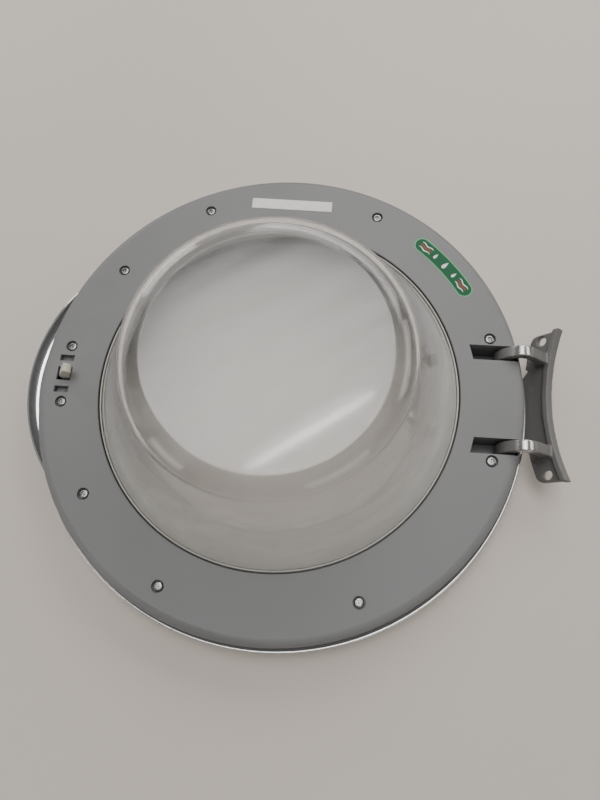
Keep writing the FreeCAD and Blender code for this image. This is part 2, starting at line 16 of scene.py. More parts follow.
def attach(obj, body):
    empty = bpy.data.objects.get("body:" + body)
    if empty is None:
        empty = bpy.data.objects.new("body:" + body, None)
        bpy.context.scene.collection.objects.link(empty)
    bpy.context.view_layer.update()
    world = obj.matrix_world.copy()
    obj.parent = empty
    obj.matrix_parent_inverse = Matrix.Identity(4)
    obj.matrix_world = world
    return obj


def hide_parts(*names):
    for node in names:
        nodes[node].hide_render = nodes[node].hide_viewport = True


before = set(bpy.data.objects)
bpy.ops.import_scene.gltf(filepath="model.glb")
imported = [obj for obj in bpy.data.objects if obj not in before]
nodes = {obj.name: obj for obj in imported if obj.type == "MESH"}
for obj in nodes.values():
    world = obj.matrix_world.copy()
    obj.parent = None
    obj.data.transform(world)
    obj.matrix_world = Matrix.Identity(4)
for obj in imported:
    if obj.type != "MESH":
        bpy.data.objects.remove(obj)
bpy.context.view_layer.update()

# %% [markdown]
# ## A way to write finishes
# Every finish here starts from one Principled shader. What stays the same all over is typed straight
# into the shader's own sockets. What varies, such as grain, smears and rubbed spots, comes from noise
# that reads the object's own coordinates, so a pattern stays where it is when a piece moves or the
# camera goes round.

# %% Helpers for finishes
NOISE_LOW = 0.3                 # most values of a noise lie between these two
NOISE_HIGH = 0.7


def start_finish(name, **sockets):
    """A new material whose Principled shader has the given socket values."""
    finish = bpy.data.materials.new(name)
    finish.use_nodes = True
    shader = finish.node_tree.nodes["Principled BSDF"]
    for socket, value in sockets.items():
        shader.inputs[socket.replace("_", " ")].default_value = value
    return finish, finish.node_tree, shader


def add_node(tree, kind, **settings):
    """A new shader node, with settings for its input sockets or its own properties."""
    node = tree.nodes.new(kind)
    for key, value in settings.items():
        if key in node.inputs:
            node.inputs[key].default_value = value
        else:
            setattr(node, key, value)
    return node


def noise(tree, size_mm, detail=4.0, stretch=(1, 1, 1), turn_deg=0.0, rough=0.5):
    """Noise in the object's own coordinates, with lumps of about size_mm.

    stretch says how many times longer the lumps are along each axis, and turn_deg turns them about Z.
    """
    where = add_node(tree, "ShaderNodeTexCoord")
    scale = add_node(tree, "ShaderNodeMapping", vector_type="TEXTURE")
    scale.inputs["Scale"].default_value = stretch
    scale.inputs["Rotation"].default_value = (0, 0, math.radians(turn_deg))
    grain = add_node(tree, "ShaderNodeTexNoise", Scale=1000.0 / size_mm, Detail=detail, Roughness=rough)
    tree.links.new(where.outputs["Object"], scale.inputs["Vector"])
    tree.links.new(scale.outputs["Vector"], grain.inputs["Vector"])
    return grain.outputs["Fac"]


def ramp(tree, source, stops):
    """A colour ramp with (place, colour) stops."""
    node = add_node(tree, "ShaderNodeValToRGB")
    tree.links.new(source, node.inputs["Fac"])
    bar = node.color_ramp.elements
    while len(bar) < len(stops):
        bar.new(0.5)
    for element, (place, colour) in zip(bar, stops):
        element.position = place
        element.color = (*colour, 1.0)
    return node.outputs["Color"]


def spread(tree, source, low, high, from_low=NOISE_LOW, from_high=NOISE_HIGH):
    """Map one range of numbers to another."""
    node = add_node(tree, "ShaderNodeMapRange")
    for key, value in (("From Min", from_low), ("From Max", from_high), ("To Min", low), ("To Max", high)):
        node.inputs[key].default_value = value
    tree.links.new(source, node.inputs["Value"])
    return node.outputs["Result"]


def bumps(tree, shader, source, strength, depth_mm):
    """Let the surface look raised where the source is high."""
    node = add_node(tree, "ShaderNodeBump", Strength=strength, Distance=depth_mm / 1000)
    tree.links.new(source, node.inputs["Height"])
    tree.links.new(node.outputs["Normal"], shader.inputs["Normal"])


def shade(base, factor):
    """A darker or lighter version of a colour."""
    return tuple(min(1.0, c * factor) for c in base)


def vary_colour(tree, shader, source, base, low, high):
    """Let the colour waver between two shades of the base."""
    stops = [(NOISE_LOW, shade(base, low)), (NOISE_HIGH, shade(base, high))]
    tree.links.new(ramp(tree, source, stops), shader.inputs["Base Color"])


def dress(obj, finish):
    """Give an object one finish all over."""
    obj.data.materials.clear()
    obj.data.materials.append(finish)


print("finish helpers ready")

# %% [markdown]
# ## Masks
# Some finishes change from place to place, such as the painted shade near the glass or the film low on the
# bowl.
# A mask is a number from 0 to 1 that says how much of each finish shows. It could be painted on an
# unwrapped mesh, but here the distance to the porthole's axis and the height give it, so there is
# nothing to unwrap.

# %% Helpers for masks
def axis_distance(tree):
    """How far a point is from the porthole's axis, in metres."""
    where = add_node(tree, "ShaderNodeTexCoord")
    flat = add_node(tree, "ShaderNodeVectorMath", operation="MULTIPLY")
    flat.inputs[1].default_value = (1, 1, 0)
    length = add_node(tree, "ShaderNodeVectorMath", operation="LENGTH")
    tree.links.new(where.outputs["Object"], flat.inputs[0])
    tree.links.new(flat.outputs["Vector"], length.inputs[0])
    return length.outputs["Value"]


def height(tree):
    """How high a point is above the front face, in metres."""
    where = add_node(tree, "ShaderNodeTexCoord")
    split = add_node(tree, "ShaderNodeSeparateXYZ")
    tree.links.new(where.outputs["Object"], split.inputs["Vector"])
    return split.outputs["Z"]


def combine(tree, sum_kind, first, second):
    """Add, subtract or multiply two varying values, kept between 0 and 1."""
    node = add_node(tree, "ShaderNodeMath", operation=sum_kind, use_clamp=True)
    tree.links.new(first, node.inputs[0])
    tree.links.new(second, node.inputs[1])
    return node.outputs[0]


def blend(tree, share, first, second):
    """Mix two colours, each a socket or plain numbers, by a share from 0 to 1."""
    mix = add_node(tree, "ShaderNodeMix", data_type="RGBA")
    tree.links.new(share, mix.inputs["Factor"])
    for socket, colour in ((mix.inputs[6], first), (mix.inputs[7], second)):
        if isinstance(colour, tuple):
            socket.default_value = (*colour, 1.0)
        else:
            tree.links.new(colour, socket)
    return mix.outputs[2]


print("mask helpers ready")

# %% [markdown]
# ## The grey frame
# The inner frame is one big moulding in satin grey plastic. A single flat grey would be quick, but real
# mouldings are never even: the tool's fine grain breaks the shine, and years of wiping leave broad,
# faint smears. So one slow noise goes into the colour and the roughness, and a fast one makes the
# grain. In the narrow gap round the glass the colour runs to black by the distance from the axis: this
# is painted shade, standing in for the shadow down in the gap.

# %% Grey moulded plastic
GREY = (0.184, 0.185, 0.188)
# colour of the painted shade in the gap round the glass
SHADE_IN_GAP = (0.012, 0.012, 0.012)
CREVICE_R = (0.1513, 0.1526)    # radii between which the painted shade round the glass fades out, in metres
SMEAR_MM = 70.0                 # size of the broad smears
GRAIN_STRENGTH = 0.35


def moulded_plastic(name, base, rough=(0.40, 0.54), grain_mm=0.9, grain_depth=0.03, vary=0.06):
    """Satin plastic with broad smears and a fine grain."""
    finish, tree, shader = start_finish(name)
    slow = noise(tree, SMEAR_MM, detail=3.0)
    fast = noise(tree, grain_mm, detail=2.0)
    vary_colour(tree, shader, slow, base, 1 - vary, 1 + vary)
    tree.links.new(spread(tree, slow, *rough), shader.inputs["Roughness"])
    bumps(tree, shader, fast, GRAIN_STRENGTH, grain_depth)
    return finish


def plastic_painted_dark_in_gap(name, base, shade_colour):
    """Moulded plastic with painted shade that runs to black in the crevice round the glass."""
    finish = moulded_plastic(name, base)
    tree = finish.node_tree
    colour = tree.nodes["Principled BSDF"].inputs["Base Color"]
    unshaded = colour.links[0].from_socket
    # painted shade: the colour runs to black towards the gap round the glass
    share = spread(tree, axis_distance(tree), 0.0, 1.0, *CREVICE_R)
    tree.links.new(blend(tree, share, shade_colour, unshaded), colour)
    return finish


grey_plastic = plastic_painted_dark_in_gap("grey_plastic_painted_gap_shade", GREY, SHADE_IN_GAP)
dress(nodes["inner_frame"], grey_plastic)
print("inner frame:", grey_plastic.name)

# %% [markdown]
# ## Plated ring and grip
# The outer ring and the finger grip carry a bright plated skin. A mirror finish lives from what it
# reflects, so the shader stays simple: full metal, low roughness, and a trace of uneven polish. Plating
# covers only what is meant to be seen: inside the mouth and on the lip's back the ring turns to bare
# dark plastic. The mesh could be split for that, but masks by distance and height leave the solid
# whole.

# %% Plating
MOUTH_R = (0.1735, 0.1745)      # the plating starts here, in metres from the axis
LIP_R = (0.2084, 0.2087)        # and wraps over the lip's edge down to here
LIP_Z = (0.01990, 0.01998)      # height of the lip's bare back
POLISH_MM = 40.0                # size of the slow waves in the polish
WIPE_MM = 9.0                   # and of the duller spots
BARE_ROUGH = (0.5, 0.5, 0.5)


def plating(name, base, rough):
    """A bright metal skin with a slightly uneven polish."""
    finish, tree, shader = start_finish(name, Metallic=1.0)
    slow = noise(tree, POLISH_MM, detail=4.0)
    vary_colour(tree, shader, slow, base, low=0.97, high=1.02)
    tree.links.new(spread(tree, noise(tree, WIPE_MM, detail=5.0), *rough), shader.inputs["Roughness"])
    bumps(tree, shader, slow, strength=0.08, depth_mm=0.15)
    return finish


def plated_ring(name, base, bare):
    """Plating on the front and round the lip's edge, bare plastic in the mouth and on the lip's back."""
    finish = plating(name, base, rough=(0.10, 0.20))
    tree = finish.node_tree
    shader = tree.nodes["Principled BSDF"]
    radius = axis_distance(tree)
    front = spread(tree, radius, 0.0, 1.0, *MOUTH_R)
    on_back = spread(tree, height(tree), 0.0, 1.0, *LIP_Z)
    off_edge = spread(tree, radius, 1.0, 0.0, *LIP_R)
    back = combine(tree, "MULTIPLY", on_back, off_edge)
    plated = combine(tree, "SUBTRACT", front, back)
    for socket, plain in (("Base Color", bare), ("Roughness", BARE_ROUGH)):
        bright = shader.inputs[socket].links[0].from_socket
        tree.links.new(blend(tree, plated, plain, bright), shader.inputs[socket])
    tree.links.new(plated, shader.inputs["Metallic"])
    return finish


ring_plating = plated_ring("silver_plating", (0.84, 0.845, 0.85), bare=(0.10, 0.10, 0.10))
grip_plating = plating("mirror_plating", (0.88, 0.885, 0.89), rough=(0.03, 0.08))
dress(nodes["outer_ring"], ring_plating)
dress(nodes["grip_handle"], grip_plating)
print("plated:", ring_plating.name, grip_plating.name)

# %% [markdown]
# ## The glass bowl
# The bowl is pressed in one piece from thick clear glass. Spotless glass nearly vanishes in a picture,
# but a used bowl doesn't: wiping leaves long faint smears, and the washing water leaves a pale film
# that is thickest low on the wall. Both scatter a share of the light that would go straight through, so
# both lower the transmission. A little roughness also softens the lamps' reflections.

# %% Pressed glass
WATER_LINE = (0.060, 0.128)     # heights between which the film fades out, in metres
BLOTCH_MM = 45.0                # size of the film's patches
BLOTCH = (0.85, 1.0)            # and how thick it is in thin and in thick ones
WIPE_DEG = 32.0                 # direction in which the bowl was last wiped
STROKE_MM = 22.0                # width of the wiping strokes
HAZE = (0.03, 0.10)             # share of the light that the wiping smears scatter
FILM = 0.45                     # and the share that the film scatters where it is thickest
FILM_TINT = (0.975, 0.962, 0.925)
SOFTNESS = (0.055, 0.09)        # roughness of the clear glass and of the film


def pressed_glass(name):
    """Clear glass with wiping smears, and a film that gets thicker downwards."""
    finish, tree, shader = start_finish(name, IOR=1.5, Specular_IOR_Level=0.5)
    low = spread(tree, height(tree), 1.0, 0.0, *WATER_LINE)
    patches = noise(tree, BLOTCH_MM, detail=3.0, stretch=(1, 1, 0.4))
    blotch = spread(tree, patches, *BLOTCH, from_low=0.35, from_high=0.65)
    film = combine(tree, "MULTIPLY", low, blotch)
    tint = ramp(tree, film, [(0.0, (1.0, 1.0, 1.0)), (1.0, FILM_TINT)])
    tree.links.new(tint, shader.inputs["Base Color"])
    strokes = noise(tree, STROKE_MM, detail=3.0, stretch=(7, 1, 1), turn_deg=WIPE_DEG)
    wiped = spread(tree, strokes, *HAZE, from_low=0.4, from_high=0.7)
    scale = spread(tree, film, 0.0, FILM, 0.0, 1.0)
    clear = spread(tree, combine(tree, "ADD", wiped, scale), 1.0, 0.0, 0.0, 1.0)
    tree.links.new(clear, shader.inputs["Transmission Weight"])
    tree.links.new(spread(tree, film, *SOFTNESS, 0.2, 1.0), shader.inputs["Roughness"])
    return finish


bowl_glass = pressed_glass("pressed_glass")
dress(nodes["glass_bowl"], bowl_glass)
print("bowl:", bowl_glass.name)

# %% [markdown]
# ## The seal round the glass
# A thin pale lip of rubber closes the gap between the glass and the frame. Only its edge shows, as one
# light line beside the dark gap, so a warm grey from the plastic recipe, with a softer grain, is enough
# for it.

# %% Pale seal
SEAL_GREY = (0.50, 0.49, 0.46)
seal = moulded_plastic("pale_seal", SEAL_GREY, (0.35, 0.5), grain_mm=2.0, grain_depth=0.02, vary=0.08)
dress(nodes["bowl_seal"], seal)
print("seal:", seal.name)

# %% [markdown]
# ## Softening crisp solids
# Castings and mouldings have no knife edges. A bevel could round them, but it needs care wherever many
# edges meet. Instead, a voxel remesh turns a copy of a solid into small even quads, and a few rounds of
# smoothing then round every edge by about a voxel, holes and hollows included. The new piece stands for
# the CAD node and rides on the same body.

# %% Helpers for softened copies
WELD = 1e-6                     # points closer than this, in metres, become one
SMOOTHING = 0.5                 # how far one round moves a point towards its neighbours


def add_object(name, data):
    """A new object in the scene that shows a mesh, a lamp or a camera."""
    obj = bpy.data.objects.new(name, data)
    bpy.context.scene.collection.objects.link(obj)
    return obj


def settle(obj):
    """Replace an object's mesh by what its modifiers make of it."""
    bpy.context.view_layer.update()
    shown = obj.evaluated_get(bpy.context.evaluated_depsgraph_get())
    made = bpy.data.meshes.new_from_object(shown)
    obj.modifiers.clear()
    obj.data = made
    return obj


def softened(node, name, voxel_mm, rounds):
    """A copy of a CAD node with rounded edges."""
    obj = add_object(name, nodes[node].data.copy())
    weld = obj.modifiers.new("weld", "WELD")
    weld.merge_threshold = WELD
    voxels = obj.modifiers.new("voxels", "REMESH")
    voxels.mode = "VOXEL"
    voxels.voxel_size = voxel_mm / 1000
    soft = obj.modifiers.new("soften", "SMOOTH")
    soft.factor = SMOOTHING
    soft.iterations = rounds
    settle(obj)
    obj.data.polygons.foreach_set("use_smooth", [True] * len(obj.data.polygons))
    print(name, "faces:", len(obj.data.polygons))
    return obj


def stand_in(obj, body, slot, *replaced):
    """Let a piece ride on a body and stand for CAD nodes. The slot argument is not used."""
    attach(obj, body)
    if replaced:
        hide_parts(*replaced)
    return obj


print("softening helpers ready")

# %% [markdown]
# ## New shapes
# The spring, the screws and the sticker's print are made anew, point by point. A bmesh holds their points
# and faces while they grow. A list of numbers would do too, but a bmesh can also turn all faces outwards.
# The finished object is smooth but for its sharp edges.

# %% Helper for new shapes
def from_form(name, form, sharp_deg=40):
    """Turn a bmesh into an object, smooth but for edges sharper than sharp_deg."""
    bmesh.ops.recalc_face_normals(form, faces=form.faces)
    mesh = bpy.data.meshes.new(name)
    form.to_mesh(mesh)
    form.free()
    mesh.polygons.foreach_set("use_smooth", [True] * len(mesh.polygons))
    mesh.set_sharp_from_angle(angle=math.radians(sharp_deg))
    return add_object(name, mesh)


print("shape helper ready")

# %% [markdown]
# ## The hinge casting
# The hinge is one dark die casting: a curved plate with a raised rim, and two gooseneck arms that dive
# into the frame. Years of opening have polished the arms' backs and the screw holes. That wear could be
# painted by hand, but a rule is easier to repeat: we store it as one number per point of the mesh and
# let the finish read it.

# %% Hinge casting
ARM_BACK = Vector((0.2010, 0.0, 0.0500))    # crown of the arms, seen along the pins
TAB_HOLES = [Vector((0.2266, side * 0.058, 0.0247)) for side in (-1, 1)]
BACK_FADE = (0.004, 0.012)                  # distances over which the wear fades out, in metres
HOLE_FADE = (0.0042, 0.0052)
PATCH_MM = 14.0                             # size of the darker and lighter patches
PATCH_SHIFT = (-0.3, 0.1)                   # what the patches take from the wear or add to it
CAST_ROUGH = (0.45, 0.22)                   # roughness of the raw casting and of rubbed metal
CAST_METAL = (0.2, 1.0)                     # and how metallic they look
RUB_GAIN = 1.3                              # makes rubbed spots bare metal before the wear is full


def smooth_step(value, low, high):
    """0 below low, 1 above high, and an even run between them."""
    t = max(0.0, min(1.0, (value - low) / (high - low)))
    return t * t * (3 - 2 * t)


def hinge_wear(point):
    """1 on the rubbed backs of the arms and in the screw holes, 0 on the raw casting."""
    on_back = 1 - smooth_step(math.hypot(point.x - ARM_BACK.x, point.z - ARM_BACK.z), *BACK_FADE)
    in_hole = max(1 - smooth_step((point - hole).length, *HOLE_FADE) for hole in TAB_HOLES)
    return max(on_back, in_hole)


def store_wear(obj, rule):
    """Keep the rule's number for every point of the mesh."""
    field = obj.data.attributes.new("wear", "FLOAT", "POINT")
    field.data.foreach_set("value", [rule(v.co) for v in obj.data.vertices])


def cast_metal(name, base, rubbed):
    """A dark casting that turns to bare metal where its mesh says wear."""
    finish, tree, shader = start_finish(name)
    worn = add_node(tree, "ShaderNodeAttribute", attribute_name="wear")
    patchy = noise(tree, PATCH_MM, detail=5.0)
    edge = add_node(tree, "ShaderNodeMath", operation="MULTIPLY_ADD")
    tree.links.new(worn.outputs["Fac"], edge.inputs[0])
    edge.inputs[1].default_value = RUB_GAIN
    tree.links.new(spread(tree, patchy, *PATCH_SHIFT), edge.inputs[2])
    stops = [(0.0, shade(base, 0.85)), (0.25, shade(base, 1.2)), (1.0, rubbed)]
    tree.links.new(ramp(tree, edge.outputs[0], stops), shader.inputs["Base Color"])
    tree.links.new(spread(tree, edge.outputs[0], *CAST_ROUGH, 0.0, 1.0), shader.inputs["Roughness"])
    tree.links.new(spread(tree, edge.outputs[0], *CAST_METAL, 0.0, 1.0), shader.inputs["Metallic"])
    bumps(tree, shader, noise(tree, 1.1, detail=3.0), strength=0.25, depth_mm=0.08)
    return finish


hinge_casting = softened("hinge_bracket", "hinge_casting", voxel_mm=0.7, rounds=5)
store_wear(hinge_casting, hinge_wear)
dress(hinge_casting, cast_metal("die_cast_metal", (0.19, 0.187, 0.183), rubbed=(0.46, 0.46, 0.45)))
stand_in(hinge_casting, "hinge", "cast_hinge", "hinge_bracket")
print("hinge casting done")

# %% [markdown]
# ## Pins and bushes
# Bright steel pins carry the hinge's arms and the catch, and dark plastic bushes sit on both sides of
# each arm, inside the frame's pockets. We could soften these too, but a turned pin is just what its
# solid is, so they keep their CAD shapes and get only a finish.

# %% Steel and bearing plastic
def bright_steel(name, base):
    """Zinc-bright metal with fine dull flecks."""
    finish, tree, shader = start_finish(name, Metallic=1.0)
    fine = noise(tree, 3.0, detail=4.0)
    vary_colour(tree, shader, fine, base, low=0.85, high=1.1)
    tree.links.new(spread(tree, fine, low=0.20, high=0.34), shader.inputs["Roughness"])
    bumps(tree, shader, noise(tree, 0.6, detail=2.0), strength=0.1, depth_mm=0.03)
    return finish


steel = bright_steel("zinc_bright_steel", (0.42, 0.42, 0.42))
bearing = moulded_plastic("bearing_plastic", (0.035, 0.035, 0.036), (0.35, 0.5))
for name, node in nodes.items():
    if "_pin" in name:
        dress(node, steel)
    elif name.startswith("hinge_bush"):
        dress(node, bearing)
print("pins and bushes dressed")

# %% [markdown]
# ## The catch
# The catch is a small cream moulding that snaps into the machine's lock. Its edges are soft too, so it
# goes through the same steps as the casting, with a finer voxel, because a coarse one would eat into
# its thin nose.

# %% Catch
CREAM = (0.56, 0.535, 0.46)
cream = moulded_plastic("cream_plastic", CREAM, (0.32, 0.45), grain_mm=1.2, grain_depth=0.02, vary=0.04)
catch = softened("latch_hook", "catch", voxel_mm=0.3, rounds=5)
dress(catch, cream)
stand_in(catch, "latch", "cream_catch", "latch_hook")

# %% [markdown]
# ## The catch's spring
# A torsion spring beside the catch pushes it up: a coil of round wire with one leg behind the catch and
# one under the frame. A curve with a bevel would make such a wire as well. Here points along the leg,
# the coil and the other leg form one path, and a ring of points goes round each of them.

# %% Catch spring
WIRE_R = 0.0005
COIL_R = 0.00375
COIL_TURNS = 2.5
COIL_PITCH = 0.00106
SPRING_AXIS = Vector((-0.184, 0.0, 0.024))
SPRING_Y = 0.00765              # where the coil starts along its axis
LONG_LEG = 0.0135
SHORT_LEG = 0.55 * LONG_LEG
LONG_STEPS = 8
SHORT_STEPS = 6


def spring_path(steps=90):
    """Points along the wire: the long leg, the coil and the short leg."""
    path = [Vector((COIL_R, SPRING_Y, LONG_LEG * (1 - i / LONG_STEPS))) for i in range(LONG_STEPS)]
    for i in range(steps + 1):
        t = i / steps
        a = 2 * math.pi * COIL_TURNS * t
        y = SPRING_Y - COIL_PITCH * COIL_TURNS * t
        path.append(Vector((COIL_R * math.cos(a), y, -COIL_R * math.sin(a))))
    end = path[-1]
    path += [end + Vector((0, 0, SHORT_LEG * i / SHORT_STEPS)) for i in range(1, SHORT_STEPS + 1)]
    return [p + SPRING_AXIS for p in path]


def tube(name, path, radius, sides=12):
    """A round wire along a path, closed at both ends."""
    form = bmesh.new()
    rings = []
    side = Vector((0, 1, 0))
    for i, here in enumerate(path):
        along = (path[min(i + 1, len(path) - 1)] - path[max(i - 1, 0)]).normalized()
        side = (side - along * side.dot(along)).normalized()
        other = along.cross(side)
        rings.append([form.verts.new(here + (side * math.cos(b) + other * math.sin(b)) * radius)
                      for b in (2 * math.pi * k / sides for k in range(sides))])
    for a, b in zip(rings, rings[1:]):
        for k in range(sides):
            form.faces.new((a[k], a[(k + 1) % sides], b[(k + 1) % sides], b[k]))
    form.faces.new(rings[0][::-1])
    form.faces.new(rings[-1])
    return from_form(name, form)


catch_spring = tube("catch_spring", spring_path(), WIRE_R)
dress(catch_spring, steel)
stand_in(catch_spring, "door", "bright_steel", "latch_spring")
print("catch spring faces:", len(catch_spring.data.polygons))

# %% [markdown]
# ## Where the screws sit
# Ten screws hold the two rings together. The CAD mesh already knows their places, so we don't type them
# again: we walk over the mesh from each point to the points linked to it, and every separate group is
# one screw.

# %% Screw places from the CAD mesh
def loose_centres(node):
    """Middle of each separate solid of a node, seen from above."""
    form = bmesh.new()
    form.from_mesh(nodes[node].data)
    bmesh.ops.remove_doubles(form, verts=form.verts, dist=WELD)
    left = set(form.verts)
    centres = []
    while left:
        todo = [left.pop()]
        group = []
        while todo:
            vert = todo.pop()
            group.append(vert.co.copy())
            for link in vert.link_edges:
                other = link.other_vert(vert)
                if other in left:
                    left.remove(other)
                    todo.append(other)
        xs = [p.x for p in group]
        ys = [p.y for p in group]
        centres.append(((min(xs) + max(xs)) / 2, (min(ys) + max(ys)) / 2))
    form.free()
    return sorted(centres)


screw_spots = loose_centres("frame_screws")
print("screws:", len(screw_spots))

# %% [markdown]
# ## Screw heads
# They are pan heads with a six-lobed drive and a small pin in its middle. Cutting a star out of a round
# head with a boolean works, but leaves ragged faces. Here a screw is a stack of rings of points: the
# drive's floor and wall follow a six-lobed curve, and further out the rings become round. Each screw
# was driven home at its own angle, so each copy is turned a little further.

# %% Six-lobed pan heads
SEAT_Z = 0.0370
HEAD_R = 0.0040
HEAD_H = 0.0023
RIM_H = 0.0008                  # height of the head's straight side, below the dome
LOBES = 6
LOBE_R = 0.00200
LOBE_WAVE = 0.00026
DRIVE_DEPTH = 0.0014
DRIVE_LAND = 0.00035            # flat ring between the drive and the dome
PIN_R = 0.00062                 # small centre pin in the drive
PIN_DROP = 0.0005               # how far its edge lies below the top
SHANK_R = 0.0020
SHANK_L = 0.0160
TIP_L = 0.0020
TIP_R = 0.0012
CHAMFER = 0.0002
ROUND_STEPS = 48
DOME_STEPS = 6
TURN_STEP = 0.37                # radians from one screw to the next


def screw_rings():
    """(radius, lobe depth, height) of each ring, from the pin in the drive to the shank's tip."""
    top = SEAT_Z + HEAD_H
    floor = top - DRIVE_DEPTH
    tip = SEAT_Z - SHANK_L
    dome_r = LOBE_R + DRIVE_LAND
    rings = [(PIN_R * 0.5, 0.0, top - CHAMFER), (PIN_R, 0.0, top - PIN_DROP), (PIN_R, 0.0, floor),
             (LOBE_R * 0.9, LOBE_WAVE, floor), (LOBE_R, LOBE_WAVE, top - CHAMFER),
             (LOBE_R + CHAMFER / 2, LOBE_WAVE, top), (dome_r, 0.0, top)]
    for i in range(1, DOME_STEPS + 1):
        a = math.pi / 2 * i / DOME_STEPS
        radius = dome_r + (HEAD_R - dome_r) * math.sin(a)
        rings.append((radius, 0.0, SEAT_Z + RIM_H + (HEAD_H - RIM_H) * math.cos(a)))
    rings += [(HEAD_R, 0.0, SEAT_Z + CHAMFER), (HEAD_R - CHAMFER, 0.0, SEAT_Z), (SHANK_R, 0.0, SEAT_Z),
              (SHANK_R, 0.0, tip + TIP_L), (TIP_R, 0.0, tip)]
    return rings


def add_screw(form, x, y, turn):
    """Add one closed screw at a place, turned about its own axis."""
    loops = []
    for radius, lobe, z in screw_rings():
        loop = []
        for k in range(ROUND_STEPS):
            a = 2 * math.pi * k / ROUND_STEPS
            r = radius + lobe * math.cos(LOBES * a)
            loop.append(form.verts.new((x + r * math.cos(a + turn), y + r * math.sin(a + turn), z)))
        loops.append(loop)
    for a, b in zip(loops, loops[1:]):
        for k in range(ROUND_STEPS):
            form.faces.new((a[k], b[k], b[(k + 1) % ROUND_STEPS], a[(k + 1) % ROUND_STEPS]))
    form.faces.new(loops[0])
    form.faces.new(loops[-1][::-1])


screw_form = bmesh.new()
for i, (x, y) in enumerate(screw_spots):
    add_screw(screw_form, x, y, TURN_STEP * i)
screws = from_form("pan_head_screws", screw_form, sharp_deg=35)
dress(screws, bright_steel("dull_zinc", (0.36, 0.36, 0.36)))
stand_in(screws, "door", "bright_steel", "frame_screws")
print("screw faces:", len(screws.data.polygons))

# %% [markdown]
# ## Label and sticker
# The white label is bare paper film, and the sticker is a pale green one. Both are flat CAD strips
# already, so they need only a finish: a dull film whose colour wavers by a few hundredths, as ink and
# paper do.

# %% Label and sticker films
def printed_film(name, base, rough):
    """A dull film of paper or ink."""
    finish, tree, shader = start_finish(name, Roughness=rough, Specular_IOR_Level=0.25)
    fine = noise(tree, 6.0, detail=4.0)
    vary_colour(tree, shader, fine, base, low=0.95, high=1.04)
    bumps(tree, shader, noise(tree, 2.5, detail=2.0), strength=0.1, depth_mm=0.03)
    return finish


paper = printed_film("bare_paper_film", (0.80, 0.80, 0.78), rough=0.45)
pale_green = printed_film("pale_green_print", (0.16, 0.42, 0.22), rough=0.3)
dark_green = printed_film("dark_green_print", (0.0, 0.095, 0.034), rough=0.45)
white_print = printed_film("white_print", (0.78, 0.80, 0.78), rough=0.3)
red_print = printed_film("red_print", (0.42, 0.025, 0.03), rough=0.3)
dress(nodes["rating_label"], paper)
dress(nodes["care_sticker"], pale_green)
print("films ready")

# %% [markdown]
# ## The sticker's print
# The sticker is a capsule that follows the frame's curve, and its print is our own plain design: a dark
# field, three drops and two groups of waves. An image would be the usual way, but flat shapes stay
# sharp from any distance and need no file. Every shape is drawn along and across the capsule, then bent
# round the frame.

# %% Sticker print
STICKER_R = 0.1832
STICKER_MID = math.radians(41.0)
STICKER_HALF = 0.0279           # half the length of the capsule's straight part along its arc
PRINT_Z = 0.0402
LAYER = 0.00004                 # height from one layer of print to the next
FIELD, WHITE, RED = range(3)    # the prints, in the order of the piece's materials
FIELD_R = 0.0062
DROP_T = 0.0004                 # the drops sit this far off the capsule's middle line
DROPS = [(-0.012, 0.0030), (0.0, 0.0040), (0.012, 0.0030)]      # (place along the capsule, size)
WAVE_SPANS = [(-0.030, -0.017), (0.017, 0.030)]
WAVE_ROWS = [(-0.0026, WHITE), (0.0, RED), (0.0026, WHITE)]     # (place across the capsule, print)
SIDE_STEPS = 24


def on_sticker(s, t, layer):
    """A point s along the capsule and t across it, both in metres, on a layer of print."""
    a = STICKER_MID - s / STICKER_R
    r = STICKER_R + t
    return Vector((r * math.cos(a), r * math.sin(a), PRINT_Z + LAYER * layer))


def capsule(half, radius, steps=20):
    """A long shape with round ends."""
    points = [(half + radius * math.cos(a), radius * math.sin(a))
              for a in (-math.pi / 2 + math.pi * i / steps for i in range(steps + 1))]
    points += [(half * (1 - 2 * i / SIDE_STEPS), radius) for i in range(1, SIDE_STEPS)]
    points += [(-half - radius * math.cos(a), radius * math.sin(a))
               for a in (math.pi / 2 - math.pi * i / steps for i in range(steps + 1))]
    return points + [(-half + 2 * half * i / SIDE_STEPS, -radius) for i in range(1, SIDE_STEPS)]


def drop(s, t, size, wide=0.62, taper=1.5, steps=28):
    """A water drop, round below and pointed above."""
    points = []
    for i in range(steps):
        a = 2 * math.pi * i / steps
        across = size * wide * math.sin(a) * math.sin(a / 2) ** taper
        points.append((s + across, t + size * math.cos(a)))
    return points


def wave(s0, s1, t, rise=0.0006, width=0.0011, cycles=1.5, steps=48):
    """A wavy band that thins out at both ends."""
    upper = []
    lower = []
    for i in range(steps + 1):
        u = i / steps
        s = s0 + (s1 - s0) * u
        mid = t + rise * math.sin(2 * math.pi * cycles * u)
        half = width / 2 * math.sin(math.pi * u) ** 0.5
        upper.append((s, mid + half))
        lower.append((s, mid - half))
    return upper + lower[::-1]


def lay_print(form, outline, layer, index):
    """Add one flat shape to the print, on its layer and in its colour."""
    face = form.faces.new([form.verts.new(on_sticker(s, t, layer)) for s, t in outline])
    face.material_index = index


print_form = bmesh.new()
lay_print(print_form, capsule(STICKER_HALF, FIELD_R), 1, FIELD)
for s, size in DROPS:
    lay_print(print_form, drop(s, DROP_T, size), 2, WHITE)
for s0, s1 in WAVE_SPANS:
    for t, ink in WAVE_ROWS:
        lay_print(print_form, wave(s0, s1, t), 2, ink)
sticker_print = from_form("sticker_print", print_form)
for finish in (dark_green, white_print, red_print):
    sticker_print.data.materials.append(finish)
stand_in(sticker_print, "door", "green_sticker")
print("sticker shapes:", len(sticker_print.data.polygons))

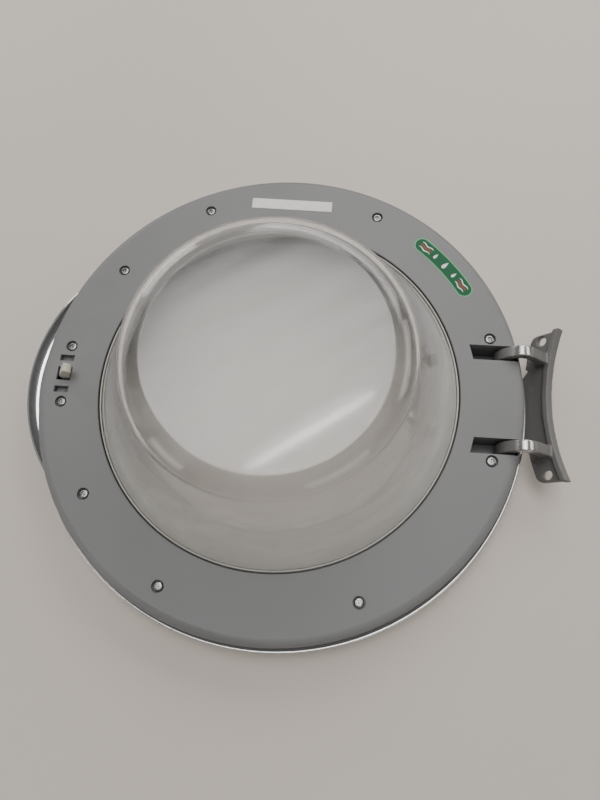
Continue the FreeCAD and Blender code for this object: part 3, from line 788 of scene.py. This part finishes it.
# %% [markdown]
# ## The table
# The door lies on its front face on a pale, dull table. The table is scenery and no part of the door.
# One big square will do, with a slow noise that keeps its colour from being quite even.

# %% Table
TABLE_HALF = 4.0
CLOUD_MM = 500.0                # size of the slow changes in its colour


def table_top(name, base):
    """A dull, nearly even surface."""
    finish, tree, shader = start_finish(name)
    slow = noise(tree, CLOUD_MM, detail=3.0)
    vary_colour(tree, shader, slow, base, low=0.985, high=1.015)
    tree.links.new(spread(tree, slow, low=0.5, high=0.62), shader.inputs["Roughness"])
    return finish


table_mesh = bpy.data.meshes.new("table")
corners = [(-TABLE_HALF, -TABLE_HALF, 0), (TABLE_HALF, -TABLE_HALF, 0), (TABLE_HALF, TABLE_HALF, 0),
           (-TABLE_HALF, TABLE_HALF, 0)]
table_mesh.from_pydata(corners, [], [(0, 1, 2, 3)])
table = add_object("table", table_mesh)
dress(table, table_top("pale_table", (0.605, 0.550, 0.494)))
print("table:", 2 * TABLE_HALF, "m")

# %% [markdown]
# ## Lamps
# Plating and glass show what stands round them, so the lamps matter as much as the finishes. A wide
# panel behind the door is the main light, and smaller soft boxes all round lift what it leaves dark. A
# long thin lamp overhead is mirrored as a streak in the bowl's top. One rectangle would give that
# streak hard ends, so a narrow bright ellipse has a wider, fainter one beside it.

# %% Lights
PANEL_WHITE = (1.0, 0.985, 0.96)
BOX_WHITE = (1.0, 0.98, 0.95)
TUBE_WHITE = (1.0, 0.99, 0.97)
BOXES = [                       # (name, place, aim, size, watts, colour)
    ("key_panel", (0.45, 1.60, 1.3), (0.0, 0.0, 0), (1.8, 0.85), 19.5, PANEL_WHITE),
    ("right_box", (1.4, 0.5, 0.9), (0.2, 0.0, 0.02), (1.0, 0.5), 4.6, BOX_WHITE),
    ("right_front_box", (0.95, -1.15, 0.6), (0.15, -0.15, 0.02), (1.0, 0.55), 2.6, BOX_WHITE),
    ("left_back_box", (-1.2, 1.3, 0.7), (-0.2, 0.1, 0.03), (0.7, 0.6), 5.2, BOX_WHITE),
    ("left_front_box", (-1.3, -0.9, 0.6), (-0.2, -0.1, 0.03), (0.6, 0.5), 2.2, BOX_WHITE),
    ("left_wall", (-1.8, 0.2, 0.55), (-0.2, 0.0, 0.03), (1.6, 0.7), 2.5, BOX_WHITE),
]
LAMP_A = Vector((-0.239, 0.176, 1.60))      # ends of the long lamp
LAMP_B = Vector((0.159, 0.458, 1.60))
LAMP_PARTS = [("core", 0.024, 0.0, 0.36), ("halo", 0.055, 0.020, 0.12)]     # (name, width, shift, watts)


def area_lamp(name, place, aim, size, watts, colour):
    """A flat lamp that faces the point it aims at."""
    data = bpy.data.lights.new(name, "AREA")
    data.shape = "RECTANGLE"
    data.size, data.size_y = size
    data.energy = watts
    data.color = colour
    lamp = add_object(name, data)
    lamp.location = place
    lamp.rotation_euler = (Vector(aim) - Vector(place)).to_track_quat("-Z", "Y").to_euler()
    return lamp


for box in BOXES:
    area_lamp(*box)
ALONG = LAMP_B - LAMP_A
ACROSS = Vector((-ALONG.y, ALONG.x, 0)).normalized()
for part, width, shift, watts in LAMP_PARTS:
    middle = (LAMP_A + LAMP_B) / 2 + ACROSS * shift
    below = middle - Vector((0, 0, 1))
    tube_lamp = area_lamp("long_lamp_" + part, middle, below, (ALONG.length, width), watts, TUBE_WHITE)
    tube_lamp.data.shape = "ELLIPSE"
    tube_lamp.rotation_euler = (0, 0, math.atan2(ALONG.y, ALONG.x))

# %% [markdown]
# ## The room
# Away from the lamps the room is dim, but one patch of its ceiling is bright, and the bowl's top
# mirrors it. A picture of a room would do this as well, but then no number could be changed. Here a
# colour ramp over the angle to one direction makes the patch and its soft edge.

# %% Room
CEILING = Vector((-0.06, 0.22, 0.975))      # the middle of the bright ceiling, seen from the bowl
GLOW = 4.3
GLOW_STOPS = [(0.30, 0.04), (0.937, 0.06), (0.957, 1.0)]   # (cosine to the middle, share of the glow)


def glowing_room(name, colour):
    """A dim room whose ceiling brightens softly round one direction."""
    room = bpy.data.worlds.new(name)
    room.use_nodes = True
    tree = room.node_tree
    sky = tree.nodes["Background"]
    sky.inputs["Strength"].default_value = GLOW
    where = add_node(tree, "ShaderNodeTexCoord")
    facing = add_node(tree, "ShaderNodeVectorMath", operation="DOT_PRODUCT")
    facing.inputs[1].default_value = CEILING.normalized()
    tree.links.new(where.outputs["Generated"], facing.inputs[0])
    stops = [(place, shade(colour, share)) for place, share in GLOW_STOPS]
    tree.links.new(ramp(tree, facing.outputs["Value"], stops), sky.inputs["Color"])
    return room


room = glowing_room("room", (1.0, 0.985, 0.965))
bpy.context.scene.world = room
print("room:", room.name, "with a glow of", GLOW)

# %% [markdown]
# ## The camera
# The camera stands where a person would hold one: half a metre above the table, a little to the near
# side of the bowl's middle, and looking down. Three angles would do, but the axes are written out here,
# because they come straight from matching known points of the door with a picture of it.

# %% Camera
PLACE = Vector((0.0568, -0.1589, 0.5143))
RIGHT = Vector((0.9956, 0.0789, -0.0515))
UP = Vector((-0.0599, 0.9519, 0.3005))
BACK = Vector((0.0727, -0.2961, 0.9524))
LENS_MM = 27.0
SENSOR_MM = 36.0
NEAREST = 0.01                  # anything closer than this, in metres, isn't drawn
lens = bpy.data.cameras.new("camera")
lens.lens = LENS_MM
lens.sensor_width = SENSOR_MM
lens.clip_start = NEAREST
camera = add_object("camera", lens)
camera.matrix_world = Matrix.Translation(PLACE) @ Matrix((RIGHT, UP, BACK)).transposed().to_4x4()
bpy.context.scene.camera = camera
print("camera at", [round(v, 3) for v in PLACE])
